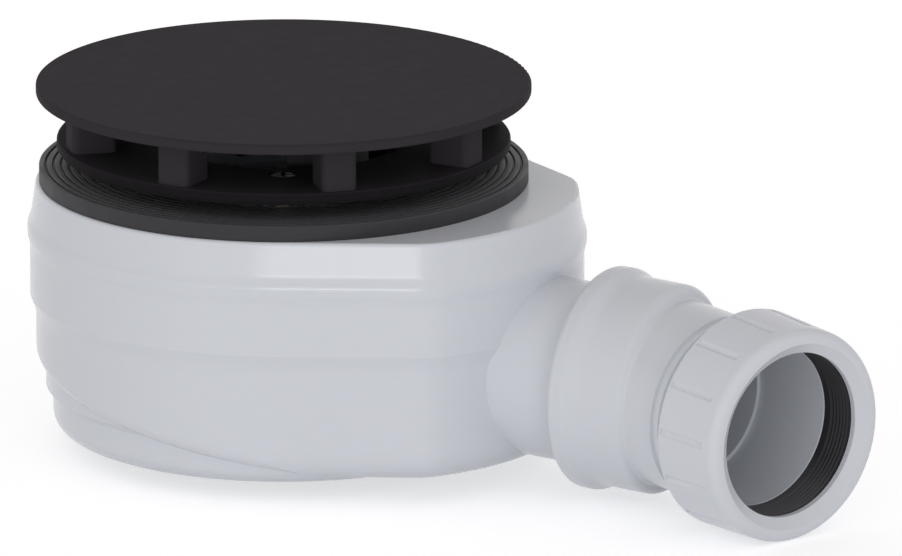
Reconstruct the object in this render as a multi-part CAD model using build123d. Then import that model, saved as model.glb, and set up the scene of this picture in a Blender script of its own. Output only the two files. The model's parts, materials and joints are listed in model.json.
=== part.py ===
from build123d import *
import os
from math import atan, cos, degrees, radians, sin, sqrt, tan

os.makedirs("parts", exist_ok=True)

# Shower trap for a tray with a 90 mm waste hole. Millimetres, +Z up, +X along the outlet.
# The origin is on the trap's axis, at the flat underside of the bowl.

# Clearances
slip = 0.3               # between parts that turn, slide or lift out
weld_gap = 0.1           # round the tongue of the welded body joint
ring_gap = 0.1           # between an O-ring and the floor of its groove

# Body outline, seen from above: a round back, two slanted sides and a round nose
body_r = 62.6
side_angle = 62.0        # direction of the slanted sides' normals, from +X
nose_out = 14.1          # how far the nose stands out past the round back
nose_ease = 3.6          # how much tighter the nose is curved than the back
corner_r = 15.0

# Body heights and walls
deck_z = 64.4            # top of the deck, where the tray gasket lies
wall = 2.2
deck_t = 3.0
deck_edge = 1.0
flare_h = 10.7           # height of the flared part of the lid's skirt
flare = 1.5              # how far the wall stands out below the flare
bead_drop = 12.3         # from the deck down to the middle of the bead, where lid and body meet
bead_h = 2.2             # of the bead's crest
bead_run = 2.3           # height of the slopes above and below the crest
bead_proud = 0.65
bead_ease = 4.0
bead_blend = 8.0
step_drop = 29.1         # from the deck down to the start of the wall's step
step_h = 3.9
step_blend = 10.0        # rounding at the foot of the step
step_run = 2.5           # height below the step in which that rounding ends
nose_floor_z = 1.9
ramp_z = 9.4             # height of the sloping floor at the trap's axis
ramp_angle = 9.8
floor_round = 8.0        # rounding under the nose
ramp_round = 4.0         # rounding under the sloping floor
tongue_h = 3.0
tongue_t = 1.0

# Bowl
bowl_inset = 4.2         # between the body's wall and the bowl
bowl_round = 5.3
bowl_step_z = 9.9
bowl_step = 1.8
bowl_top_z = 34.0        # the bowl's wall ends inside the chamber
cup_ring_h = 3.0
cup_ring_t = 1.8

# Mouth of the lid and its screw bosses
mouth_r = 33.0
mouth_t = 2.4
mouth_up = 3.0           # height of the upstand above the deck
mouth_down = 8.0
mouth_lip = 2.2          # inward lip that the flange's spigot stands on
mouth_lip_t = 2.0
screw_count = 3
screw_start = 60.0
screw_out = 3.6          # from the mouth's wall to the circle of the screws
boss_r = 4.2
boss_depth = 15.0

# Screws and inserts
screw_r = 2.0
screw_length = 19.0
head_r = 3.5
head_h = 2.4
slot_w = 1.0
slot_depth = 1.2
insert_r = 2.7
insert_length = 10.0
thread_gap = 0.05

# Tray gasket
gasket_inset = 0.85      # between the deck's edge and the gasket
gasket_clear = 1.2       # between the gasket and the screw bosses
gasket_h = 4.0
rib_count = 10
rib_w = 1.25
rib_depth = 0.9

# Clamping flange and its seal
flange_r = 57.25
flange_top = 11.1        # above the deck
flange_t = 2.0
hub_t = 4.6              # thickness inside the rim, where the screws go through
spigot_t = 2.2
ledge_w = 2.5
ledge_t = 2.0
head_seat_t = 1.8
flange_edge = 0.5
flange_mouth_ease = 1.4
flange_seal_t = 1.0
flange_seal_r = 56.6

# Cover
cover_r = 62.5
cover_t = 2.7
cover_z = 22.6           # underside, above the deck
cover_edge = 0.6
post_count = 8
post_w = 9.0
post_depth = 11.6
post_margin = 1.45       # between the posts and the flange's edge
post_round = 1.8
leg_count = 4
leg_t = 1.8
leg_angle = 26.0

# Dip tube and seal cup
collar_h = 8.0
collar_t = 3.9
dip_wall = 1.6
dip_r = 19.5
dip_foot_z = 10.0
funnel_h = 8.0
bar_w = 4.0
bar_h = 2.5
oring_groove_w = 2.8
oring_section = 2.4
cup_clear = 0.7          # between the cup and the flange's ledge, which it is lifted through
cup_wall = 1.6
cup_floor = 1.8
cup_top_z = 53.0
fin_count = 3
fin_t = 1.6
fin_h = 34.0

# Outlet spigot on the body
outlet_drop = 35.3       # from the deck to the outlet's axis, at the trap's axis
outlet_fall = 2.3        # degrees
spigot_r = 22.9
spigot_wall = 2.3
neck_length = 15.3       # of the spigot that shows between the nose and the bend
plug_length = 15.5       # of the spigot inside the bend
snap_proud = 0.8
snap_w = 2.4
snap_slots = 4
snap_slot_w = 2.0
snap_slot_l = 8.0

# Swivel bend
bend_wall = 2.7
bend_collar_proud = 1.55
bend_collar_w = 4.4
bend_collar_run = 3.4    # length of the slope behind the collar
bend_collar_edge = 1.6
bend_collar_ease = 3.0
bend_collar_blend = 5.0
bend_end_gap = 2.3       # past the spigot's end
bend_face_t = 3.8
bend_rim_round = 2.6
bend_set_back = 2.7      # from the bend's face to the point where its two axes cross
bend_angle = 20.0
crease_round = 1.2       # where the socket leaves the bend's face
bend_oring_section = 2.2
bend_oring_groove_w = 2.6

# Pipe socket on the bend
socket_r = 20.9
socket_wall = 2.6
socket_depth = 26.6
pipe_stop = 11.9         # from the point where the bend's axes cross
pipe_stop_w = 1.0
seat_w = 1.7
seat_depth = 2.3
thread_proud = 0.8       # height of the thread's ridge on the socket

# Compression nut, slip washer and pipe seal
nut_overlap = 9.2        # of the nut over the socket's thread
nut_length = 20.85
nut_wall = 3.45
nut_taper = 0.75
nut_round = 2.5
nut_rear_round = 0.6
nut_mouth_gap = 0.3
nut_lip_t = 1.5
nut_funnel_h = 2.25      # depth of the opening's slanted rim
nut_funnel_w = 2.8
grip_count = 14
grip_start = 9.9
grip_r = 1.3
grip_depth = 0.5
grip_margin = 1.2
grip_l = 15.0
washer_t = 1.0
seal_nose_w = 1.5        # of the seal's ring inside the washer
seal_lips = 4
seal_lip_h = 0.8

# Derived sizes of the body and what sits in it
nose_reach = body_r + nose_out
nose_r = body_r - nose_ease
bowl_r = body_r - bowl_inset
joint_z = deck_z - bead_drop
step_z = deck_z - step_drop
step_low_z = step_z - step_h
blend_z = step_low_z - step_run
flange_z = deck_z + flange_top
ledge_z = deck_z - mouth_down + mouth_lip_t
bore_r = mouth_r - slip - spigot_t
collar_r = bore_r - slip
boss_top_z = deck_z + mouth_up
screw_circle_r = mouth_r + screw_out
hub_r = screw_circle_r + boss_r
hub_z = flange_z - hub_t
rim_z = flange_z - flange_t
rim_r = hub_r + hub_t - flange_t
seat_z = hub_z + head_seat_t
gasket_r = body_r - gasket_inset
gasket_inner_r = hub_r + gasket_clear
rib_pitch = (gasket_r - gasket_inner_r) / rib_count
post_outer_r = flange_r - post_margin
cup_r = bore_r - ledge_w - cup_clear
cup_z = wall

# Derived sizes of the outlet, along its axis from the trap's axis
spigot_bore_r = spigot_r - spigot_wall
spigot_root = nose_reach - nose_r + sqrt(nose_r**2 - spigot_r**2) - wall
bend_start = nose_reach + neck_length
spigot_end = bend_start + plug_length
bend_cavity_end = spigot_end + bend_end_gap
bend_face = bend_cavity_end + bend_face_t
bend_point = bend_face - bend_set_back
bend_r = spigot_r + slip + snap_proud + bend_wall
bend_collar_r = bend_r + bend_collar_proud

# Derived sizes of the pipe socket, along its axis from the point where the bend's axes cross
tail_r = socket_r + socket_wall
thread_r = tail_r + thread_proud
seat_r = socket_r + seat_w
waterway_r = socket_r - pipe_stop_w
socket_end = pipe_stop + socket_depth
nut_start = socket_end - nut_overlap
nut_end = nut_start + nut_length
nut_bore_r = thread_r + slip
nut_rear_r = nut_bore_r + nut_wall
nut_front_r = nut_rear_r - nut_taper
nut_mouth_r = socket_r + nut_mouth_gap
nut_lip_z = nut_end - nut_funnel_h - nut_lip_t
seal_r = thread_r - slip
seal_nose_r = socket_r + seal_nose_w
seal_front = nut_lip_z - slip
seal_shoulder = seal_front - washer_t

# Axes of the outlet and of the pipe socket
outlet_dir = Vector(cos(radians(outlet_fall)), 0, -sin(radians(outlet_fall)))
tail_dir = outlet_dir * cos(radians(bend_angle)) + Vector(0, -1, 0) * sin(radians(bend_angle))
outlet_start = Vector(0, 0, deck_z - outlet_drop)
outlet = Plane(origin=outlet_start, x_dir=(0, 1, 0), z_dir=outlet_dir)
tail = Plane(origin=outlet_start + outlet_dir * bend_point, x_dir=(0, 0, 1), z_dir=tail_dir)


def profile(*points, eased=()):
    """Face with the given corners; eased lists (across, height, rounding) of the rounded ones."""
    face = make_face(Polyline(*points, close=True))
    for across, height, rounding in eased:
        face = fillet(face.vertices().sort_by_distance((across, height))[0], rounding)
    return face


def turned(*points, eased=()):
    """Solid of revolution about Z from (radius, height) points; eased lists (radius, height, rounding)."""
    return revolve(Plane.XZ * profile(*points, eased=eased), axis=Axis.Z)


def tube(outer_r, inner_r, low, high):
    """Plain tube about Z between two heights."""
    return turned((inner_r, low), (outer_r, low), (outer_r, high), (inner_r, high))


def rod(radius, low, high):
    """Plain cylinder about Z between two heights."""
    return Pos(0, 0, low) * Cylinder(radius, high - low, align=(Align.CENTER, Align.CENTER, Align.MIN))


def oring(section, inner_r, height):
    """Round-section ring about Z that touches the inner radius."""
    return Pos(0, 0, height) * Torus(inner_r + section / 2, section / 2)


def side_normal():
    """Outward direction of the body's slanted side."""
    return Vector(cos(radians(side_angle)), sin(radians(side_angle)))


def outline_edges(grow):
    """Edges of the body's outline, offset outwards, starting where a slanted side meets the back."""
    normal = side_normal()
    along = Vector(normal.Y, -normal.X)
    nose = Vector(nose_reach - nose_r, 0)
    away = body_r - corner_r - nose.X * normal.X
    corner = nose + normal * away + along * sqrt((nose_r - corner_r) ** 2 - away**2)
    outward = (corner - nose).normalized()
    middle = (normal + outward).normalized()
    start = normal * (body_r + grow)
    bend_in, bend_mid, bend_out = (corner + way * (corner_r + grow) for way in (normal, middle, outward))
    below = [Vector(p.X, -p.Y) for p in (start, bend_in, bend_mid, bend_out)]
    return [
        ThreePointArc(start, (-body_r - grow, 0), below[0]),
        Line(below[0], below[1]),
        ThreePointArc(below[1], below[2], below[3]),
        ThreePointArc(below[3], (nose_reach + grow, 0), bend_out),
        ThreePointArc(bend_out, bend_mid, bend_in),
        Line(bend_in, start),
    ]


def outline(grow, height):
    """The body's outline, offset outwards, as a face at a height."""
    return Pos(0, 0, height) * make_face(outline_edges(grow))


def walled(grow, low, high):
    """Upright block with the body's outline between two heights."""
    return extrude(outline(grow, low), amount=high - low, dir=(0, 0, 1))


def leaning(low_grow, low, high_grow, high):
    """Block whose outline changes evenly between two heights."""
    return loft([outline(low_grow, low), outline(high_grow, high)], ruled=True)


def skirt(low, high):
    """Outside of the body's wall between two heights: flare, bead and step."""
    bead_top = joint_z + bead_h / 2
    bead_low = joint_z - bead_h / 2
    top_grow = flare * (deck_z - bead_top - bead_run) / flare_h
    crest = flare + bead_proud
    section = profile(
        (-2 * wall, deck_z), (0, deck_z), (top_grow, bead_top + bead_run), (crest, bead_top),
        (crest, bead_low), (flare, bead_low - bead_run), (flare, step_z), (0, step_low_z), (0, blend_z),
        (-2 * wall, blend_z),
        eased=[
            (0, deck_z, deck_edge), (top_grow, bead_top + bead_run, bead_blend), (crest, bead_top, bead_ease),
            (crest, bead_low, bead_ease), (flare, bead_low - bead_run, bead_blend), (0, step_low_z, step_blend),
        ],
    )
    normal = side_normal()
    start = Plane(origin=normal * body_r, x_dir=normal, z_dir=normal.cross(Vector(0, 0, 1)))
    ring = sweep(start * section, path=Wire(outline_edges(0)))
    return (ring & walled(2 * wall, low, high)) + walled(-wall, low, high)


def screw_spots():
    """Places of the flange's screws round the mouth."""
    return PolarLocations(screw_circle_r, screw_count, start_angle=screw_start)


def rounded_under(block, rounding):
    """Block with the edges of its underside rounded."""
    underside = block.faces().filter_by(lambda face: face.normal_at().Z < -0.9)
    return fillet(underside.edges(), rounding)


def hull(inset, top):
    """Lower part of the body up to a height, with its level and sloping floors, or the space inside."""
    slope = Vector(sin(radians(ramp_angle)), 0, cos(radians(ramp_angle)))
    ramp = Plane(origin=Vector(0, 0, ramp_z) + slope * inset, z_dir=slope)
    below = Box(4 * nose_reach, 4 * nose_reach, deck_z, align=(Align.CENTER, Align.CENTER, Align.MAX))
    level = rounded_under(walled(-inset, nose_floor_z + inset, top), floor_round - inset)
    sloped = rounded_under(walled(-inset, -deck_z / 2, top) - ramp * below, ramp_round - inset)
    return level & sloped


def bowl(inset):
    """Round bowl under the chamber, or its inside."""
    low_r = bowl_r - inset
    high_r = low_r + bowl_step
    curve = bowl_round - inset
    edges = [
        Line((0, inset), (low_r - curve, inset)),
        RadiusArc((low_r - curve, inset), (low_r, inset + curve), -curve),
        Line((low_r, inset + curve), (low_r, bowl_step_z + inset)),
        Line((low_r, bowl_step_z + inset), (high_r, bowl_step_z + inset + bowl_step)),
        Line((high_r, bowl_step_z + inset + bowl_step), (high_r, bowl_top_z)),
        Line((high_r, bowl_top_z), (0, bowl_top_z)),
        Line((0, bowl_top_z), (0, inset)),
    ]
    return revolve(Plane.XZ * make_face(edges), axis=Axis.Z)


def spigot():
    """Outlet spigot with a split snap bead at its end."""
    bead_low = spigot_end - snap_w
    shape = rod(spigot_r, spigot_root, spigot_end)
    shape += turned(
        (spigot_bore_r, bead_low), (spigot_r, bead_low), (spigot_r + snap_proud, bead_low + snap_proud),
        (spigot_r, spigot_end), (spigot_bore_r, spigot_end),
    )
    slot = Box(snap_slot_w, 4 * spigot_r, snap_slot_l, align=(Align.CENTER, Align.CENTER, Align.MAX))
    for turn in range(snap_slots // 2):
        shape -= Pos(0, 0, spigot_end) * Rot(0, 0, 45 + 180 * 2 * turn / snap_slots) * slot
    return shape


def trap_body():
    """Lower moulding: bowl, nose, ramp and outlet spigot."""
    shape = hull(0, blend_z) + skirt(blend_z, joint_z) + bowl(0) + outlet * spigot()
    shape -= hull(wall, step_low_z) + leaning(-wall, step_low_z, flare - wall, step_z) + bowl(wall)
    shape -= walled(flare - wall, step_z, joint_z)
    shape -= outlet * rod(spigot_bore_r, body_r / 2, spigot_end)
    tongue_in = flare - wall
    tongue_top = joint_z + tongue_h
    shape += walled(tongue_in + tongue_t, joint_z, tongue_top) - walled(tongue_in, joint_z, tongue_top)
    ring_r = cup_r + slip
    return shape + tube(ring_r + cup_ring_t, ring_r, wall, wall + cup_ring_h)


def trap_lid():
    """Upper moulding: deck, flared skirt, mouth and screw bosses."""
    flare_z = deck_z - flare_h
    shape = skirt(joint_z, deck_z)
    shape -= walled(flare - wall, joint_z, flare_z)
    shape -= leaning(flare - wall, flare_z, flare * deck_t / flare_h - wall, deck_z - deck_t)
    shape -= walled(flare - wall + tongue_t + weld_gap, joint_z, joint_z + tongue_h + weld_gap)
    shape += tube(mouth_r + mouth_t, mouth_r - mouth_lip, deck_z - mouth_down, deck_z + mouth_up)
    for spot in screw_spots():
        shape += spot * rod(boss_r, boss_top_z - boss_depth, boss_top_z)
    shape -= rod(mouth_r, ledge_z, boss_top_z)
    shape -= rod(mouth_r - mouth_lip, deck_z - boss_depth, boss_top_z)
    for spot in screw_spots():
        shape -= spot * rod(insert_r, boss_top_z - insert_length, boss_top_z)
        shape -= spot * rod(screw_r + slip, seat_z - screw_length - slip, boss_top_z)
    return shape


def screw_inserts():
    """Brass sleeves in the lid's bosses."""
    sleeve = tube(insert_r, screw_r + thread_gap, boss_top_z - insert_length, boss_top_z)
    return Compound([spot * sleeve for spot in screw_spots()])


def tray_gasket():
    """Rubber ring with concentric ribs that the tray lies on."""
    top_z = deck_z + gasket_h
    shape = tube(gasket_r, gasket_inner_r, deck_z, top_z)
    for rib in range(rib_count - 1):
        groove_r = gasket_r - rib * rib_pitch - rib_w
        shape -= tube(groove_r, groove_r - rib_pitch + rib_w, top_z - rib_depth, top_z)
    return shape


def flange():
    """Clamping flange: flat rim for the posts, thicker hub for the screws and a spigot with a ledge."""
    outer_r = mouth_r - slip
    shape = turned(
        (bore_r - ledge_w, ledge_z), (outer_r, ledge_z), (outer_r, hub_z), (hub_r, hub_z), (rim_r, rim_z),
        (flange_r, rim_z), (flange_r, flange_z), (bore_r, flange_z), (bore_r, ledge_z + ledge_t),
        (bore_r - ledge_w, ledge_z + ledge_t),
        eased=[(flange_r, flange_z, flange_edge), (bore_r, flange_z, flange_mouth_ease)],
    )
    for spot in screw_spots():
        shape -= spot * rod(screw_r + slip, hub_z, flange_z)
        shape -= spot * rod(head_r + slip, seat_z, flange_z)
    return shape


def flange_screws():
    """Slotted screws through the flange into the inserts."""
    screw = rod(screw_r, seat_z - screw_length, seat_z)
    head = fillet(rod(head_r, seat_z, seat_z + head_h).edges().sort_by(Axis.Z)[-1], head_h / 3)
    slot = Box(4 * head_r, slot_w, slot_depth, align=(Align.CENTER, Align.CENTER, Align.MAX))
    screw = screw + head - Pos(0, 0, seat_z + head_h) * slot
    return Compound([spot * screw for spot in screw_spots()])


def flange_seal():
    """Flat rubber ring under the flange's rim."""
    return tube(flange_seal_r, rim_r + slip, rim_z - flange_seal_t, rim_z)


def cover():
    """Flat disc on posts, with legs that plug into the dip tube."""
    low = deck_z + cover_z
    disc = rod(cover_r, low, low + cover_t)
    disc = fillet(disc.edges(), cover_edge)
    height = low - flange_z
    post = Box(post_depth, post_w, height, align=(Align.MAX, Align.CENTER, Align.MIN))
    post = fillet(post.edges().filter_by(Axis.Z), post_round)
    for spot in PolarLocations(0, post_count):
        disc += spot * Pos(post_outer_r, 0, flange_z) * post
    leg_r = collar_r - collar_t - slip
    leg_low = ledge_z + ledge_t + collar_h / 2
    ring = tube(leg_r, leg_r - leg_t, leg_low, low)
    sector = Pos(0, 0, leg_low) * extrude(make_face(Polyline(
        (0, 0), (cover_r, -cover_r * tan(radians(leg_angle / 2))),
        (cover_r, cover_r * tan(radians(leg_angle / 2))), close=True)), amount=low - leg_low, dir=(0, 0, 1))
    for spot in PolarLocations(0, leg_count, start_angle=45):
        disc += ring & (spot * sector)
    return disc


def dip_tube():
    """Inlet funnel and tube, with a groove for its O-ring and a bar to lift it by."""
    low = ledge_z + ledge_t
    top = low + collar_h
    mid = (low + top) / 2
    groove_r = bore_r - oring_section - 2 * ring_gap
    inner_r = dip_r - dip_wall
    shape = turned(
        (collar_r - collar_t, top), (collar_r, top), (collar_r, mid + oring_groove_w / 2),
        (groove_r, mid + oring_groove_w / 2), (groove_r, mid - oring_groove_w / 2),
        (collar_r, mid - oring_groove_w / 2), (collar_r, low), (bore_r - ledge_w - slip, low),
        (dip_r, low - funnel_h), (dip_r, dip_foot_z), (inner_r, dip_foot_z),
        (inner_r, low - funnel_h + dip_wall), (collar_r - collar_t, low + dip_wall),
    )
    span = 2 * (collar_r - collar_t) + dip_wall
    bar = Box(span, bar_w, bar_h, align=(Align.CENTER, Align.CENTER, Align.MIN))
    return shape + Pos(0, 0, low + dip_wall) * bar


def dip_tube_oring():
    """Ring that seals the dip tube in the flange's spigot."""
    return oring(oring_section, bore_r - oring_section - ring_gap, ledge_z + ledge_t + collar_h / 2)


def seal_cup():
    """Cup that holds the water seal, with fins that centre the dip tube."""
    inner_r = cup_r - cup_wall
    floor_z = cup_z + cup_floor
    shape = turned(
        (0, cup_z), (cup_r, cup_z), (cup_r, cup_top_z), (inner_r, cup_top_z), (inner_r, floor_z),
        (0, floor_z),
    )
    reach = cup_wall / 2 + inner_r - dip_r - slip
    fin = Box(reach, fin_t, fin_h, align=(Align.MIN, Align.CENTER, Align.MIN))
    for spot in PolarLocations(dip_r + slip, fin_count):
        shape += Pos(0, 0, floor_z) * spot * fin
    return shape


def outlet_bend():
    """Swivel bend: snap socket on the spigot, closed face and slanted pipe socket."""
    collar_end = bend_start + bend_collar_w
    slope_end = collar_end + bend_collar_run
    cap = turned(
        (0, bend_start), (bend_collar_r, bend_start), (bend_collar_r, collar_end), (bend_r, slope_end),
        (bend_r, bend_face), (0, bend_face),
        eased=[
            (bend_collar_r, bend_start, bend_collar_edge), (bend_collar_r, collar_end, bend_collar_ease),
            (bend_r, slope_end, bend_collar_blend), (bend_r, bend_face, bend_rim_round),
        ],
    )
    root = -tail_r * tan(radians(bend_angle))
    shape = outlet * cap + tail * rod(tail_r, root, socket_end)
    crease = shape.edges().filter_by(lambda edge: edge.geom_type in (GeomType.ELLIPSE, GeomType.BSPLINE))
    shape = fillet(crease, crease_round)
    fit_r = spigot_r + slip
    bead_low = spigot_end - snap_w - slip
    groove_z = bend_start + bend_collar_w / 2
    cavity = rod(fit_r, bend_start, bend_cavity_end) + rod(fit_r + snap_proud, bead_low, bend_cavity_end)
    groove_r = fit_r + bend_oring_section + ring_gap
    cavity += rod(groove_r, groove_z - bend_oring_groove_w / 2, groove_z + bend_oring_groove_w / 2)
    water_low = bend_cavity_end - bend_point - waterway_r * sin(radians(bend_angle))
    water = rod(waterway_r, water_low / cos(radians(bend_angle)), pipe_stop)
    socket = turned(
        (0, pipe_stop), (socket_r, pipe_stop), (socket_r, socket_end - seat_depth), (seat_r, socket_end),
        (0, socket_end),
    )
    return shape - outlet * cavity - tail * (water + socket)


def bend_oring():
    """Ring in the bend's collar, round the spigot."""
    return outlet * oring(bend_oring_section, spigot_r + slip, bend_start + bend_collar_w / 2)


def pipe_seal():
    """Rubber ring with inner lips that grips the pipe."""
    pitch = (seal_front - socket_end) / seal_lips
    rear = socket_end + slip
    points = [
        (socket_r, rear - seat_depth), (seat_r, rear), (seal_r, rear), (seal_r, seal_shoulder),
        (seal_nose_r, seal_shoulder), (seal_nose_r, seal_front), (socket_r, seal_front),
    ]
    for lip in range(seal_lips):
        low = seal_front - (lip + 1) * pitch
        points += [(socket_r + seal_lip_h, low + pitch / 2), (socket_r, low)]
    return tail * turned(*points[:-1])


def slip_washer():
    """Flat ring round the seal's nose that the nut turns against."""
    return tail * tube(seal_r, seal_nose_r + slip, seal_shoulder, seal_front)


def compression_nut():
    """Nut with grip grooves and a lip that presses the seal."""
    shape = turned(
        (nut_bore_r, nut_start), (nut_rear_r, nut_start), (nut_front_r, nut_end),
        (nut_mouth_r + nut_funnel_w, nut_end), (nut_mouth_r, nut_end - nut_funnel_h), (nut_mouth_r, nut_lip_z),
        (nut_bore_r, nut_lip_z),
        eased=[(nut_rear_r, nut_start, nut_rear_round), (nut_front_r, nut_end, nut_round)],
    )
    lean = Rot(0, -degrees(atan(nut_taper / nut_length)), 0)
    groove = Pos(0, 0, nut_start + grip_margin) * lean * rod(grip_r, 0, grip_l)
    for spot in PolarLocations(nut_rear_r - grip_depth + grip_r, grip_count, start_angle=grip_start):
        shape -= spot * groove
    return tail * shape


pieces = [
    cover, flange, flange_screws, flange_seal, tray_gasket, trap_lid, screw_inserts, trap_body,
    dip_tube, dip_tube_oring, seal_cup, outlet_bend, bend_oring, pipe_seal, slip_washer, compression_nut,
]
for piece in pieces:
    export_step(piece(), f"parts/{piece.__name__}.step")
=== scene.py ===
"""Finishes, rubber parts, threads and a studio stage for a shower trap."""

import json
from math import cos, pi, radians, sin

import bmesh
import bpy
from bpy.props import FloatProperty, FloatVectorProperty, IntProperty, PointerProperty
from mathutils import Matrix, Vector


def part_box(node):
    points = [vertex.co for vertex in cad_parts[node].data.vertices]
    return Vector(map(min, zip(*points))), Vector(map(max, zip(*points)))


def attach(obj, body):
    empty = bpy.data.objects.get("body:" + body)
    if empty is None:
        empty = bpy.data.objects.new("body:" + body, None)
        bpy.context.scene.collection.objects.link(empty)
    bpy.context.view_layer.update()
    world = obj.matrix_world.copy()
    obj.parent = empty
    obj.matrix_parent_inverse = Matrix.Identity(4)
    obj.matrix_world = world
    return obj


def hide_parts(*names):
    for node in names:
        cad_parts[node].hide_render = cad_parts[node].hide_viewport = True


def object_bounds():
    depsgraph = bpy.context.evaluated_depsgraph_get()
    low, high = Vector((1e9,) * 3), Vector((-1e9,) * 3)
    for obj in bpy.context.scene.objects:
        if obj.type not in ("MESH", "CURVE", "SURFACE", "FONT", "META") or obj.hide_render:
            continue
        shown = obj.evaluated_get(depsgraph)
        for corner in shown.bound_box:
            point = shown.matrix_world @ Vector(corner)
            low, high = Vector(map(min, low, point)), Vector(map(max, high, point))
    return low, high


bl_info = {
    "name": "Shower Trap Finishes",
    "version": (1, 0, 0),
    "blender": (4, 5, 0),
    "location": "3D View > Sidebar > Shower Trap",
    "description": "Dresses a shower trap: moulded plastic, rubber rings, pipe threads and a studio stage",
    "category": "Object",
}

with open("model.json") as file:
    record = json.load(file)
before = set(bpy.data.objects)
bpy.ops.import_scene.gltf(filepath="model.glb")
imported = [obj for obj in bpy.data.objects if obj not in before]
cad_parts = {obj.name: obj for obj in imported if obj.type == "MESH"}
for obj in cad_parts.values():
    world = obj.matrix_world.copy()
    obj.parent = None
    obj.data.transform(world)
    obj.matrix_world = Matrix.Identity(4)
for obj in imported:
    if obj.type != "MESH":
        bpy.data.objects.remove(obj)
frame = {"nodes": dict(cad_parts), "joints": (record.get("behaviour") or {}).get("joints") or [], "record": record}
CAD_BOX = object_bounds()

MOUNTS = {mount["name"]: mount for mount in frame["record"]["mounts"]}
JOINTS = {joint["name"]: joint for joint in frame["joints"]}
SOCKET_MIDDLE = Vector(MOUNTS["pipe_socket"]["pos_m"])
SOCKET_AXIS = Vector(MOUNTS["pipe_socket"]["axis"])
SWIVEL_AXIS = Vector(JOINTS["bend_swivel"]["axis"])
UP = Vector((0, 0, 1))
GASKET_LOW, GASKET_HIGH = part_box("tray_gasket")
FLANGE_SEAL_LOW, FLANGE_SEAL_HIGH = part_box("flange_seal")
FLOOR_HEIGHT = CAD_BOX[0].z

# Meshes
SHARP_ANGLE = radians(50.0)  # an edge that turns further stays sharp
CORNER_SHARE = 0.45  # most of an edge that one rounded corner takes
RING_CORNERS = 24  # points round an O-ring's section
FADE_PARTS = 3  # a thread's end fades over one turn divided by this
FADED_HEIGHT = 0.02  # share of the ridge's height that is left at its very end

# Mirror reflection of each finish, where 0.5 is what its index of refraction gives
WHITE_SHEEN = 0.22
COVER_SHEEN = 0.04
FLANGE_SHEEN = 0.03
RUBBER_SHEEN = 0.4
CLAMP_SHEEN = 0.04
BARE_METAL = 1.0  # share of metal in a part without a coat
FACING_UP = (0.5, 0.95)  # upward share of a normal at which the painted lighter top starts and is full

# Softboxes, by their direction round the trap, height above the horizon, and width and height
LAMP_DISTANCE = 3.0
FILL_WAY, FILL_SIZE = (radians(8.0), radians(3.0)), (3.0, 0.5)
STRIP_WAY, STRIP_SIZE = (radians(27.0), radians(5.2)), (0.9, 0.4)
SIDE_WAY, SIDE_SIZE = (radians(50.0), radians(5.0)), (1.0, 0.5)
GLINT_NODES = ("trap_lid", "trap_body")

WHITE = (1.0, 1.0, 1.0)
SEEN_RAYS = ("Is Camera Ray", "Is Glossy Ray", "Is Transmission Ray")


def along(node, middle, axis):
    """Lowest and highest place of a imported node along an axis, from a point."""
    places = [(vertex.co - middle).dot(axis) for vertex in frame["nodes"][node].data.vertices]
    return min(places), max(places)


def away(node, middle, axis):
    """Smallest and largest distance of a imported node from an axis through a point."""
    places = [vertex.co - middle for vertex in frame["nodes"][node].data.vertices]
    distances = [(place - axis * place.dot(axis)).length for place in places]
    return min(distances), max(distances)


SEAL_REAR, SEAL_FRONT = along("pipe_seal", SOCKET_MIDDLE, SOCKET_AXIS)
SEAL_INNER, SEAL_OUTER = away("pipe_seal", SOCKET_MIDDLE, SOCKET_AXIS)
WASHER_REAR = along("slip_washer", SOCKET_MIDDLE, SOCKET_AXIS)[0]
WASHER_INNER = away("slip_washer", SOCKET_MIDDLE, SOCKET_AXIS)[0]
NUT_REAR = along("compression_nut", SOCKET_MIDDLE, SOCKET_AXIS)[0]
SOCKET_END = along("outlet_bend", SOCKET_MIDDLE, SOCKET_AXIS)[1]


def length(name, description, default):
    """A length property in metres."""
    return FloatProperty(name=name, description=description, default=default, unit="LENGTH", precision=5)


def factor(name, description, default):
    """A property from 0 to 1."""
    return FloatProperty(name=name, description=description, default=default, subtype="FACTOR", min=0, max=1)


def colour(name, description, default):
    """A linear colour property."""
    return FloatVectorProperty(
        name=name, description=description, default=default, subtype="COLOR", min=0, max=1
    )


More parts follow.
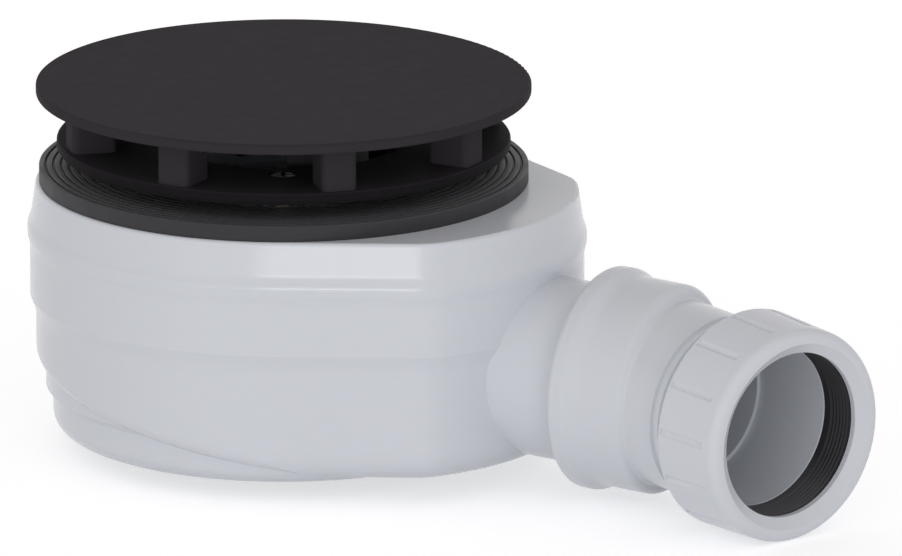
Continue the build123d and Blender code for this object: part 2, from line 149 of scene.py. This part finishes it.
class TrapFinishes(bpy.types.PropertyGroup):
    """Colours and gloss of the trap's materials."""

    body_colour: colour("Body", "Glossy white plastic of the body", (0.668, 0.694, 0.742))
    body_roughness: factor("Body Roughness", "Gloss of the white plastic", 0.21)
    nut_colour: colour("Nut", "White plastic of the compression nut", (0.676, 0.697, 0.750))
    nut_roughness: factor("Nut Roughness", "Gloss of the nut", 0.23)
    cover_colour: colour("Cover", "Matt black plastic of the cover", (0.0372, 0.0336, 0.0380))
    # Painted shade: the flange's sides are darker than its top, for the shade under the cover
    flange_shade_colour: colour("Flange", "Darker sides of the flange", (0.0125, 0.0110, 0.0125))
    cover_roughness: factor("Cover Roughness", "Gloss of the cover", 0.72)
    flange_roughness: factor("Flange Roughness", "Gloss of the flange", 0.6)
    rubber_colour: colour("Rubber", "Black rubber of the gasket and seals", (0.0255, 0.0250, 0.0285))
    # Paler tops of the rubber: partly a bloom, partly painted light from above
    bloom_and_lit_top_colour: colour("Bloom", "Paler skin of the rubber where it faces up", (0.092, 0.087, 0.094))
    # Painted shade: the flange's seal is darker than the other rubber, for the shade under the flange
    seal_shade_colour: colour("Flange Seal", "Darker rubber of the flange's seal", (0.010, 0.010, 0.011))
    rubber_roughness: factor("Rubber Roughness", "Gloss of the rubber", 0.58)
    steel_colour: colour("Steel", "Stainless screws", (0.86, 0.86, 0.87))
    steel_roughness: factor("Steel Roughness", "Gloss of the screws", 0.25)
    steel_bareness: factor("Steel Bareness", "How bare the screws' metal is under its pale coat", 0.6)
    brass_colour: colour("Brass", "Brass inserts", (0.62, 0.45, 0.19))
    brass_roughness: factor("Brass Roughness", "Gloss of the inserts", 0.34)
    washer_colour: colour("Washer", "Natural plastic of the slip washer", (0.66, 0.66, 0.63))
    washer_roughness: factor("Washer Roughness", "Gloss of the slip washer", 0.45)
    grain: length("Grain", "Depth of the moulded grain", 0.00003)


class TrapRubber(bpy.types.PropertyGroup):
    """Sizes of the rubber rings."""

    rib_count: IntProperty(name="Ribs", description="Concentric ribs on the tray gasket", default=10, min=1)
    rib_width: length("Rib Width", "Width of one rib of the tray gasket", 0.00145)
    rib_depth: length("Rib Depth", "Depth of the grooves between the ribs", 0.0006)
    edge: length("Edge", "Rounding of the rubber's edges", 0.0002)
    lip_count: IntProperty(name="Lips", description="Inner lips of the pipe seal", default=6, min=1)
    lip_height: length("Lip Height", "Height of the pipe seal's lips", 0.0005)
    seal_seat: length("Seal Seat", "Length of the tapered seat behind the pipe seal", 0.0023)
    seal_seat_width: length("Seal Seat Width", "Width of the tapered seat", 0.0017)
    nose_gap: length("Nose Gap", "Between the seal's nose and the slip washer round it", 0.0003)
    flash: length("Flash", "Height of the moulding line round an O-ring", 0.00006)
    steps: IntProperty(name="Steps", description="Steps round each ring", default=180, min=24)


class TrapThread(bpy.types.PropertyGroup):
    """Sizes of the compression thread."""

    pitch: length("Pitch", "Travel of the nut in one turn", 0.003)
    height: length("Height", "Height of the thread's ridge", 0.0008)
    crest: length("Crest", "Width of the ridge's flat crest", 0.0006)
    foot: length("Foot", "Width of the ridge at its foot", 0.0013)
    root_radius: length("Root Radius", "Outside of the socket under the thread", 0.0235)
    clearance: length("Clearance", "Between the thread's crests and the nut", 0.0003)
    run_out: length("Run-out", "Length of the socket's thread behind the nut", 0.0090)
    margin: length("Margin", "Plain end of the socket and of the nut beside the thread", 0.0009)
    seal_gap: length("Seal Gap", "Between the nut's thread and the seal that it passes over", 0.00006)
    steps: IntProperty(name="Steps", description="Steps in one turn of the thread", default=96, min=24)


class TrapStage(bpy.types.PropertyGroup):
    """Camera, floor and light."""

    azimuth: FloatProperty(
        name="Azimuth", description="Camera's direction round the trap", default=radians(29.92),
        subtype="ANGLE",
    )
    elevation: FloatProperty(
        name="Elevation", description="Camera's height above the horizon", default=radians(15.24),
        subtype="ANGLE",
    )
    aim: FloatVectorProperty(
        name="Aim", description="Point in the middle of the picture", default=(0.03655, 0.02105, 0.03834),
        subtype="TRANSLATION",
    )
    lens: FloatProperty(name="Lens", description="Focal length", default=1000.0, unit="CAMERA")
    picture_width: length("Picture Width", "Width that the picture shows at the aim point", 0.22778)
    floor_size: length("Floor Size", "Side of the square floor", 12.0)
    floor_colour: colour("Floor", "Pale floor", (0.82, 0.82, 0.83))
    floor_glow: factor("Floor Glow", "Light that the floor gives off by itself", 0.08)
    floor_lift: factor("Floor Lift", "Brightness added where the floor is seen", 0.535)
    horizon_light: FloatProperty(name="Horizon Light", description="Light from the horizon", default=0.84)
    horizon_colour: colour("Horizon", "Colour of the light from the horizon", (1.0, 1.0, 1.0))
    zenith_light: FloatProperty(name="Zenith Light", description="Light from above", default=0.46)
    zenith_colour: colour("Zenith", "Colour of the light from above", (1.0, 0.95, 0.93))
    fill_power: FloatProperty(name="Fill", description="Wide low front light", default=17.0, unit="POWER")
    strip_power: FloatProperty(name="Strip", description="Glint on the body", default=15.0, unit="POWER")
    side_power: FloatProperty(name="Side", description="Light from the outlet", default=9.0, unit="POWER")


def turned_place(middle, axis):
    """Matrix that carries the Z axis to an axis through a point."""
    return Matrix.Translation(middle) @ axis.to_track_quat("Z", "Y").to_matrix().to_4x4()


def rounded(points, radius, steps=3):
    """Closed profile with each corner rounded, as a list of points."""
    eased = []
    for index, corner in enumerate(points):
        here = Vector(corner)
        before = Vector(points[index - 1]) - here
        after = Vector(points[(index + 1) % len(points)]) - here
        reach = min(radius, CORNER_SHARE * before.length, CORNER_SHARE * after.length)
        start = here + before.normalized() * reach
        end = here + after.normalized() * reach
        for step in range(steps + 1):
            share = step / steps
            eased.append((1 - share) ** 2 * start + 2 * share * (1 - share) * here + share**2 * end)
    return eased


def finished_mesh(name, shape, place):
    """Object in the scene from a bmesh, smooth but for its sharp edges."""
    bmesh.ops.recalc_face_normals(shape, faces=shape.faces)
    mesh = bpy.data.meshes.new(name)
    shape.to_mesh(mesh)
    shape.free()
    mesh.transform(place)
    mesh.shade_smooth()
    mesh.set_sharp_from_angle(angle=SHARP_ANGLE)
    piece = bpy.data.objects.new(name, mesh)
    bpy.context.scene.collection.objects.link(piece)
    return piece


def lathe(name, profile, place, steps):
    """Ring turned from a closed profile of (radius, height) points about an axis."""
    shape = bmesh.new()
    rings = []
    for step in range(steps):
        turn = 2 * pi * step / steps
        rings.append([shape.verts.new((r * cos(turn), r * sin(turn), z)) for r, z in profile])
    for step in range(steps):
        here, there = rings[step], rings[(step + 1) % steps]
        for index in range(len(profile)):
            after = (index + 1) % len(profile)
            shape.faces.new((here[index], there[index], there[after], here[after]))
    return finished_mesh(name, shape, place)


def helix(name, foot_radius, crest_radius, start, end, phase, thread, place):
    """Helical ridge with a flat crest that fades out at both ends."""
    shape = bmesh.new()
    turns = (end - start) / thread.pitch
    count = max(2, int(turns * thread.steps))
    fade = thread.steps // FADE_PARTS
    sections = []
    for step in range(count + 1):
        turn = phase + 2 * pi * turns * step / count
        middle = start + (end - start) * step / count
        grown = min(1.0, step / fade, (count - step) / fade)
        crest = foot_radius + (crest_radius - foot_radius) * max(grown, FADED_HEIGHT)
        section = [
            (foot_radius, middle - thread.foot / 2),
            (crest, middle - thread.crest / 2),
            (crest, middle + thread.crest / 2),
            (foot_radius, middle + thread.foot / 2),
        ]
        sections.append([shape.verts.new((r * cos(turn), r * sin(turn), z)) for r, z in section])
    for here, there in zip(sections, sections[1:]):
        for index in range(len(here)):
            after = (index + 1) % len(here)
            shape.faces.new((here[index], there[index], there[after], here[after]))
    shape.faces.new(sections[0])
    shape.faces.new(sections[-1][::-1])
    return finished_mesh(name, shape, place)


def dress(piece, material):
    """Piece with one material."""
    piece.data.materials.clear()
    piece.data.materials.append(material)


def dress_node(node, material):
    """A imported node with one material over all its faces."""
    mesh = frame["nodes"][node].data
    mesh.materials.clear()
    mesh.materials.append(material)


class Finish:
    """A principled material whose colour, gloss and relief vary over the surface."""

    def __init__(self, name):
        self.material = bpy.data.materials.new(name)
        self.material.use_nodes = True
        self.tree = self.material.node_tree
        self.shader = self.tree.nodes["Principled BSDF"]
        where = self.node("ShaderNodeTexCoord")
        self.place, self.facing = where.outputs["Object"], where.outputs["Normal"]

    def node(self, kind, **settings):
        """New node with its settings."""
        made = self.tree.nodes.new(kind)
        for key, value in settings.items():
            setattr(made, key, value)
        return made

    def link(self, source, target):
        """Join two sockets."""
        self.tree.links.new(source, target)

    def constant(self, **values):
        """Set the shader's sockets that are the same all over."""
        for key, value in values.items():
            self.shader.inputs[key.replace("_", " ")].default_value = value

    def noise(self, scale, detail=3.0, stretch=(1, 1, 1)):
        """Noise over the piece, in patches a metre wide divided by the scale."""
        mapping = self.node("ShaderNodeMapping")
        mapping.inputs["Scale"].default_value = stretch
        self.link(self.place, mapping.inputs["Vector"])
        texture = self.node("ShaderNodeTexNoise")
        texture.inputs["Scale"].default_value = scale
        texture.inputs["Detail"].default_value = detail
        self.link(mapping.outputs["Vector"], texture.inputs["Vector"])
        return texture.outputs["Fac"]

    def ranged(self, value, low, high, from_low=0.3, from_high=0.7):
        """Value mapped to a range."""
        mapped = self.node("ShaderNodeMapRange")
        mapped.inputs["From Min"].default_value = from_low
        mapped.inputs["From Max"].default_value = from_high
        mapped.inputs["To Min"].default_value = low
        mapped.inputs["To Max"].default_value = high
        self.link(value, mapped.inputs["Value"])
        return mapped.outputs["Result"]

    def tint(self, colour, depth, value):
        """Colour that darkens and lightens by a share with a value."""
        mixed = self.node("ShaderNodeMix", data_type="RGBA")
        mixed.inputs["A"].default_value = (*(channel * (1 - depth) for channel in colour), 1)
        mixed.inputs["B"].default_value = (*(min(1, channel * (1 + depth)) for channel in colour), 1)
        self.link(self.ranged(value, 0, 1), mixed.inputs["Factor"])
        self.link(mixed.outputs["Result"], self.shader.inputs["Base Color"])
        return mixed.outputs["Result"]

    def paint_top_light(self, below, colour):
        """Another colour where the piece's own surface faces up: painted light on the tops, or painted shade on
        the sides below them.
        """
        split = self.node("ShaderNodeSeparateXYZ")
        self.link(self.facing, split.inputs["Vector"])
        mixed = self.node("ShaderNodeMix", data_type="RGBA")
        mixed.inputs["B"].default_value = (*colour, 1)
        self.link(below, mixed.inputs["A"])
        self.link(self.ranged(split.outputs["Z"], 0, 1, *FACING_UP), mixed.inputs["Factor"])
        self.link(mixed.outputs["Result"], self.shader.inputs["Base Color"])

    def gloss(self, roughness, spread, value):
        """Roughness that varies about a middle."""
        varied = self.ranged(value, roughness - spread, roughness + spread)
        self.link(varied, self.shader.inputs["Roughness"])

    def relief(self, *layers):
        """Bump from (value, depth) layers, one over the other."""
        below = None
        for value, depth in layers:
            bump = self.node("ShaderNodeBump")
            bump.inputs["Distance"].default_value = depth
            self.link(value, bump.inputs["Height"])
            if below:
                self.link(below, bump.inputs["Normal"])
            below = bump.outputs["Normal"]
        self.link(below, self.shader.inputs["Normal"])


def moulded_white(name, colour, roughness, grain):
    """Glossy white plastic with faint flow marks and an uneven skin."""
    finish = Finish(name)
    flow = finish.noise(scale=22.0, detail=2.0, stretch=(1, 1, 0.4))
    skin = finish.noise(scale=160.0, detail=2.0)
    pores = finish.noise(scale=1100.0, detail=2.0)
    finish.tint(colour, depth=0.010, value=flow)
    finish.gloss(roughness, spread=0.02, value=skin)
    finish.relief((skin, grain / 12), (pores, grain / 30))
    finish.constant(IOR=1.5, Specular_IOR_Level=WHITE_SHEEN)
    finish.constant(Subsurface_Weight=0.05, Subsurface_Scale=0.002)
    return finish.material


def matt_black(name, colour, lit_top_colour, roughness, sheen, grain):
    """Matt black plastic with a fine eroded grain, and a colour of its own where it faces up; where the side
    colour is darker, it is painted shade.
    """
    finish = Finish(name)
    cloud = finish.noise(scale=35.0, detail=4.0)
    skin = finish.noise(scale=260.0, detail=3.0)
    pits = finish.noise(scale=1500.0, detail=2.0)
    # Where the top colour is paler, the sides carry painted shade
    finish.paint_top_light(finish.tint(colour, depth=0.03, value=cloud), lit_top_colour)
    finish.gloss(roughness, spread=0.03, value=skin)
    finish.relief((pits, grain / 3))
    finish.constant(IOR=1.45, Specular_IOR_Level=sheen)
    return finish.material


def black_rubber(name, colour, lit_top_colour, roughness, sheen, grain):
    """Moulded rubber, uneven, and paler where it faces up: partly a bloom on the rubber, partly painted light on
    its tops.
    """
    finish = Finish(name)
    dust = finish.noise(scale=90.0, detail=5.0)
    waves = finish.noise(scale=420.0, detail=2.0)
    pits = finish.noise(scale=2200.0, detail=1.0)
    # Paler tops: partly a bloom, partly painted light
    finish.paint_top_light(finish.tint(colour, depth=0.16, value=dust), lit_top_colour)
    finish.gloss(roughness, spread=0.09, value=dust)
    finish.relief((waves, grain), (pits, grain / 3))
    finish.constant(IOR=1.5, Specular_IOR_Level=sheen)
    return finish.material


def turned_metal(name, colour, roughness, bareness, grain):
    """Metal with fine drawn lines, bare or under a thin pale coat."""
    finish = Finish(name)
    lines = finish.noise(scale=900.0, detail=3.0, stretch=(1, 1, 8))
    finish.tint(colour, depth=0.08, value=lines)
    finish.gloss(roughness, spread=0.08, value=lines)
    finish.relief((lines, grain / 3))
    finish.constant(Metallic=bareness)
    return finish.material


def natural_plastic(name, colour, roughness, grain):
    """Satin plastic that lets a little light in."""
    finish = Finish(name)
    flow = finish.noise(scale=60.0, detail=2.0)
    skin = finish.noise(scale=800.0, detail=2.0)
    finish.tint(colour, depth=0.03, value=flow)
    finish.gloss(roughness, spread=0.05, value=flow)
    finish.relief((skin, grain / 4))
    finish.constant(IOR=1.5, Subsurface_Weight=0.1, Subsurface_Scale=0.001)
    return finish.material


def shared(name, make, *values):
    """Material by name, made once."""
    return bpy.data.materials.get(name) or make(name, *values)


def white_of(finishes):
    """Body's white plastic."""
    return shared("body_white", moulded_white, finishes.body_colour, finishes.body_roughness, finishes.grain)


def black_of(finishes):
    """Cover's black plastic."""
    colours = finishes.cover_colour, finishes.cover_colour
    gloss = finishes.cover_roughness, COVER_SHEEN
    return shared("cover_black", matt_black, *colours, *gloss, finishes.grain)


def shaded_flange_of(finishes):
    """Flange's black plastic with painted shade: its sides are darker than its top, which has the cover's colour.
    """
    colours = finishes.flange_shade_colour, finishes.cover_colour
    gloss = finishes.flange_roughness, FLANGE_SHEEN
    return shared("flange_black", matt_black, *colours, *gloss, finishes.grain)


def rubber_of(finishes):
    """Black rubber of the rings, paler on top with a bloom and painted light."""
    colours = finishes.rubber_colour, finishes.bloom_and_lit_top_colour
    gloss = finishes.rubber_roughness, RUBBER_SHEEN
    return shared("ring_rubber", black_rubber, *colours, *gloss, finishes.grain)


def shaded_clamp_rubber_of(finishes):
    """Rubber of the flange's seal, painted darker for the shade under the flange."""
    colours = finishes.seal_shade_colour, finishes.seal_shade_colour
    gloss = finishes.rubber_roughness, CLAMP_SHEEN
    return shared("clamp_rubber", black_rubber, *colours, *gloss, finishes.grain)


def ribbed_profile(rubber):
    """Section of the tray gasket: a flat underside and ribs with grooves between them."""
    outer = GASKET_HIGH.x
    low, high = GASKET_LOW.z, GASKET_HIGH.z
    inner = away("tray_gasket", Vector(), UP)[0]
    pitch = (outer - inner) / rubber.rib_count
    points = [(inner, low), (outer, low)]
    for rib in range(rubber.rib_count):
        rib_out = outer - rib * pitch
        rib_in = rib_out - rubber.rib_width
        if rib:
            points.append((rib_out, high - rubber.rib_depth))
        points += [(rib_out, high), (rib_in, high)]
        if rib < rubber.rib_count - 1:
            points.append((rib_in, high - rubber.rib_depth))
    last = outer - (rubber.rib_count - 1) * pitch - rubber.rib_width
    points += [(last, high - rubber.rib_depth), (inner, high - rubber.rib_depth)]
    return rounded(points, rubber.edge)


def lipped_profile(rubber):
    """Section of the pipe seal: a tapered seat, a plain outside, a nose and inner lips."""
    rear = SEAL_REAR + rubber.seal_seat
    nose = WASHER_INNER - rubber.nose_gap
    points = [(SEAL_INNER, SEAL_REAR), (SEAL_INNER + rubber.seal_seat_width, rear), (SEAL_OUTER, rear)]
    points += [(SEAL_OUTER, WASHER_REAR), (nose, WASHER_REAR), (nose, SEAL_FRONT), (SEAL_INNER, SEAL_FRONT)]
    pitch = (SEAL_FRONT - rear) / rubber.lip_count
    for lip in range(rubber.lip_count):
        tip = SEAL_FRONT - (lip + 1) * pitch
        points += [(SEAL_INNER + rubber.lip_height, tip + pitch / 2), (SEAL_INNER, tip)]
    return rounded(points, rubber.edge)


def ring_profile(middle_radius, section, flash):
    """Round section of an O-ring with a fine moulding line inside and outside."""
    points = []
    for corner in range(RING_CORNERS):
        turn = 2 * pi * corner / RING_CORNERS
        proud = flash if corner % (RING_CORNERS // 2) == 0 else 0
        reach = section / 2 - flash + proud
        points.append((middle_radius + reach * cos(turn), reach * sin(turn)))
    return points


def round_ring(node, body, axis, context):
    """O-ring with a moulding line in place of its plain node."""
    finishes, rubber = context.scene.trap_finishes, context.scene.trap_rubber
    low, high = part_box(node)
    middle = (low + high) / 2
    inner, outer = away(node, middle, axis)
    profile = ring_profile((inner + outer) / 2, outer - inner, rubber.flash)
    ring = lathe(f"{node}_ring", profile, turned_place(middle, axis), rubber.steps)
    dress(ring, rubber_of(finishes))
    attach(ring, body)
    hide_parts(node)


class TRAP_OT_cover(bpy.types.Operator):
    """Finish the cover and the clamping flange in matt black, with painted shade on the flange's sides"""

    bl_idname = "trap.cover"
    bl_label = "Cover and Flange"

    def execute(self, context):
        dress_node("cover", black_of(context.scene.trap_finishes))
        dress_node("flange", shaded_flange_of(context.scene.trap_finishes))
        return {"FINISHED"}


class TRAP_OT_fasteners(bpy.types.Operator):
    """Finish the flange's screws and their inserts in metal"""

    bl_idname = "trap.fasteners"
    bl_label = "Screws and Inserts"

    def execute(self, context):
        finishes = context.scene.trap_finishes
        steel = finishes.steel_colour, finishes.steel_roughness, finishes.steel_bareness
        brass = finishes.brass_colour, finishes.brass_roughness, BARE_METAL
        dress_node("flange_screws", turned_metal("screw_steel", *steel, finishes.grain))
        dress_node("screw_inserts", turned_metal("insert_brass", *brass, finishes.grain))
        return {"FINISHED"}


class TRAP_OT_gasket(bpy.types.Operator):
    """Make the ribbed tray gasket and the flange's seal"""

    bl_idname = "trap.gasket"
    bl_label = "Tray Gasket and Flange Seal"

    def execute(self, context):
        finishes, rubber = context.scene.trap_finishes, context.scene.trap_rubber
        gasket = lathe("tray_gasket_ring", ribbed_profile(rubber), Matrix.Identity(4), rubber.steps)
        inner, outer = away("flange_seal", Vector(), UP)
        low, high = FLANGE_SEAL_LOW.z, FLANGE_SEAL_HIGH.z
        section = rounded([(inner, low), (outer, low), (outer, high), (inner, high)], rubber.edge)
        seal = lathe("flange_seal_ring", section, Matrix.Identity(4), rubber.steps)
        dress(gasket, rubber_of(finishes))
        # The seal's darker rubber is painted shade
        dress(seal, shaded_clamp_rubber_of(finishes))
        for ring, node in ((gasket, "tray_gasket"), (seal, "flange_seal")):
            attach(ring, "trap")
            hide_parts(node)
        return {"FINISHED"}


class TRAP_OT_body(bpy.types.Operator):
    """Finish the lid and body in glossy white plastic"""

    bl_idname = "trap.body"
    bl_label = "Lid and Body"

    def execute(self, context):
        for node in ("trap_lid", "trap_body"):
            dress_node(node, white_of(context.scene.trap_finishes))
        return {"FINISHED"}


class TRAP_OT_insides(bpy.types.Operator):
    """Finish the dip tube, its O-ring and the seal cup"""

    bl_idname = "trap.insides"
    bl_label = "Dip Tube and Cup"

    def execute(self, context):
        for node in ("dip_tube", "seal_cup"):
            dress_node(node, white_of(context.scene.trap_finishes))
        round_ring("dip_tube_oring", "trap", UP, context)
        return {"FINISHED"}


class TRAP_OT_bend(bpy.types.Operator):
    """Finish the swivel bend and make its thread, O-ring and pipe seal"""

    bl_idname = "trap.bend"
    bl_label = "Swivel Bend"

    def execute(self, context):
        scene = context.scene
        finishes, rubber, thread = scene.trap_finishes, scene.trap_rubber, scene.trap_thread
        dress_node("outlet_bend", white_of(finishes))
        round_ring("bend_oring", "bend", SWIVEL_AXIS, context)
        place = turned_place(SOCKET_MIDDLE, SOCKET_AXIS)
        foot = thread.root_radius
        start, end = NUT_REAR - thread.run_out, SOCKET_END - thread.margin
        ridge = helix("socket_thread", foot, foot + thread.height, start, end, 0, thread, place)
        dress(ridge, white_of(finishes))
        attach(ridge, "bend")
        seal = lathe("pipe_seal_ring", lipped_profile(rubber), place, rubber.steps)
        dress(seal, rubber_of(finishes))
        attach(seal, "bend")
        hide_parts("pipe_seal")
        return {"FINISHED"}


class TRAP_OT_nut(bpy.types.Operator):
    """Finish the compression nut and slip washer, and make the nut's thread"""

    bl_idname = "trap.nut"
    bl_label = "Compression Nut"

    def execute(self, context):
        finishes, thread = context.scene.trap_finishes, context.scene.trap_thread
        white = shared(
            "nut_white", moulded_white, finishes.nut_colour, finishes.nut_roughness, finishes.grain
        )
        dress_node("compression_nut", white)
        satin = finishes.washer_colour, finishes.washer_roughness
        dress_node("slip_washer", natural_plastic("washer_natural", *satin, finishes.grain))
        foot = thread.root_radius + thread.height + thread.clearance
        crest = SEAL_OUTER + thread.seal_gap
        start, end = NUT_REAR + thread.margin, SOCKET_END
        lead = 2 * pi * (thread.run_out + thread.margin) / thread.pitch
        place = turned_place(SOCKET_MIDDLE, SOCKET_AXIS)
        ridge = helix("nut_thread", foot, crest, start, end, lead + pi, thread, place)
        dress(ridge, white)
        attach(ridge, "nut")
        return {"FINISHED"}


def ray_share(tree, kinds):
    """Value that is 1 for the named kinds of ray and 0 for the rest."""
    path = tree.nodes.new("ShaderNodeLightPath")
    total = path.outputs[kinds[0]]
    for kind in kinds[1:]:
        most = tree.nodes.new("ShaderNodeMath")
        most.operation = "MAXIMUM"
        tree.links.new(total, most.inputs[0])
        tree.links.new(path.outputs[kind], most.inputs[1])
        total = most.outputs["Value"]
    return total


def mixed_shader(tree, share, first, second):
    """Shader that goes from one to another with a share."""
    mix = tree.nodes.new("ShaderNodeMixShader")
    tree.links.new(share, mix.inputs["Fac"])
    tree.links.new(first, mix.inputs[1])
    tree.links.new(second, mix.inputs[2])
    return mix.outputs["Shader"]


def studio_world(stage):
    """Soft light all round, brighter at the horizon, on a white background."""
    world = bpy.data.worlds.new("studio")
    world.use_nodes = True
    tree = world.node_tree
    tree.nodes.clear()
    place = tree.nodes.new("ShaderNodeTexCoord")
    split = tree.nodes.new("ShaderNodeSeparateXYZ")
    tree.links.new(place.outputs["Generated"], split.inputs["Vector"])
    grounds = []
    for strength, tone in (
        (stage.horizon_light, stage.horizon_colour),
        (stage.zenith_light, stage.zenith_colour),
        (1.0, WHITE),
    ):
        ground = tree.nodes.new("ShaderNodeBackground")
        ground.inputs["Strength"].default_value = strength
        ground.inputs["Color"].default_value = (*tone, 1)
        grounds.append(ground.outputs["Background"])
    horizon, zenith, white = grounds
    light = mixed_shader(tree, split.outputs["Z"], horizon, zenith)
    seen = mixed_shader(tree, ray_share(tree, SEEN_RAYS), light, white)
    out = tree.nodes.new("ShaderNodeOutputWorld")
    tree.links.new(seen, out.inputs["Surface"])
    return world


def pale_floor(stage):
    """Floor that fades into the white background and keeps the trap's shadow."""
    material = bpy.data.materials.new("pale_floor")
    material.use_nodes = True
    tree = material.node_tree
    tree.nodes.clear()
    matt = tree.nodes.new("ShaderNodeBsdfDiffuse")
    matt.inputs["Color"].default_value = (*stage.floor_colour, 1)
    lift = tree.nodes.new("ShaderNodeEmission")
    glow = tree.nodes.new("ShaderNodeMapRange")
    glow.inputs["To Min"].default_value = stage.floor_glow
    glow.inputs["To Max"].default_value = stage.floor_lift
    tree.links.new(ray_share(tree, SEEN_RAYS), glow.inputs["Value"])
    tree.links.new(glow.outputs["Result"], lift.inputs["Strength"])
    both = tree.nodes.new("ShaderNodeAddShader")
    tree.links.new(matt.outputs["BSDF"], both.inputs[0])
    tree.links.new(lift.outputs["Emission"], both.inputs[1])
    out = tree.nodes.new("ShaderNodeOutputMaterial")
    tree.links.new(both.outputs["Shader"], out.inputs["Surface"])
    half = stage.floor_size / 2
    mesh = bpy.data.meshes.new("floor")
    corners = [(-half, -half, FLOOR_HEIGHT), (half, -half, FLOOR_HEIGHT)]
    corners += [(half, half, FLOOR_HEIGHT), (-half, half, FLOOR_HEIGHT)]
    mesh.from_pydata(corners, [], [(0, 1, 2, 3)])
    mesh.materials.append(material)
    floor = bpy.data.objects.new("floor", mesh)
    bpy.context.scene.collection.objects.link(floor)


def looking(azimuth, elevation):
    """Unit vector from the trap towards a direction round it."""
    level = cos(elevation)
    return Vector((sin(azimuth) * level, -cos(azimuth) * level, sin(elevation)))


def softbox(name, way, size, power, aim):
    """Rectangular area lamp that faces the trap, hidden from the camera and from reflections."""
    lamp = bpy.data.lights.new(name, "AREA")
    lamp.shape = "RECTANGLE"
    lamp.size, lamp.size_y = size
    lamp.energy = power
    holder = bpy.data.objects.new(name, lamp)
    out = looking(*way)
    holder.location = aim + out * LAMP_DISTANCE
    holder.rotation_euler = out.to_track_quat("Z", "Y").to_euler()
    holder.visible_camera = False
    holder.visible_glossy = False
    bpy.context.scene.collection.objects.link(holder)
    return holder


def glint_only(holder, nodes):
    """Lamp that is only seen as a reflection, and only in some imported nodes."""
    holder.visible_diffuse = False
    holder.visible_glossy = True
    reach = bpy.data.collections.new(f"{holder.name}_reach")
    for node in nodes:
        reach.objects.link(frame["nodes"][node])
    holder.light_linking.receiver_collection = reach


class TRAP_OT_stage(bpy.types.Operator):
    """Set the floor, the light and the camera"""

    bl_idname = "trap.stage"
    bl_label = "Studio Stage"

    def execute(self, context):
        scene, stage = context.scene, context.scene.trap_stage
        scene.view_settings.view_transform = "Standard"
        scene.world = studio_world(stage)
        pale_floor(stage)
        aim = Vector(stage.aim)
        softbox("fill", FILL_WAY, FILL_SIZE, stage.fill_power, aim)
        softbox("side", SIDE_WAY, SIDE_SIZE, stage.side_power, aim)
        strip = softbox("strip", STRIP_WAY, STRIP_SIZE, stage.strip_power, aim)
        glint_only(strip, GLINT_NODES)
        data = bpy.data.cameras.new("camera")
        data.lens = stage.lens
        camera = bpy.data.objects.new("camera", data)
        back = looking(stage.azimuth, stage.elevation)
        camera.location = aim + back * stage.picture_width * stage.lens / data.sensor_width
        camera.rotation_euler = (-back).to_track_quat("-Z", "Y").to_euler()
        scene.collection.objects.link(camera)
        scene.camera = camera
        return {"FINISHED"}


PIECES = (
    TRAP_OT_cover, TRAP_OT_fasteners, TRAP_OT_gasket, TRAP_OT_body,
    TRAP_OT_insides, TRAP_OT_bend, TRAP_OT_nut, TRAP_OT_stage,
)
SETTINGS = {
    "trap_finishes": TrapFinishes,
    "trap_rubber": TrapRubber,
    "trap_thread": TrapThread,
    "trap_stage": TrapStage,
}


class TRAP_PT_sidebar(bpy.types.Panel):
    """Steps and sizes of the shower trap"""

    bl_label = "Shower Trap"
    bl_space_type = "VIEW_3D"
    bl_region_type = "UI"
    bl_category = "Shower Trap"

    def draw(self, context):
        for piece in PIECES:
            self.layout.operator(piece.bl_idname)
        for name, group in SETTINGS.items():
            box = self.layout.box()
            for key in group.__annotations__:
                box.prop(getattr(context.scene, name), key)


CLASSES = (*SETTINGS.values(), *PIECES, TRAP_PT_sidebar)


def register():
    """Add the classes and their settings."""
    for made in CLASSES:
        bpy.utils.register_class(made)
    for name, group in SETTINGS.items():
        setattr(bpy.types.Scene, name, PointerProperty(type=group))


def unregister():
    """Take the classes and their settings away."""
    for name in SETTINGS:
        delattr(bpy.types.Scene, name)
    for made in reversed(CLASSES):
        bpy.utils.unregister_class(made)


def main():
    """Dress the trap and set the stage."""
    register()
    for piece in PIECES:
        getattr(bpy.ops.trap, piece.bl_idname.split(".")[1])()


if __name__ == "__main__":
    main()
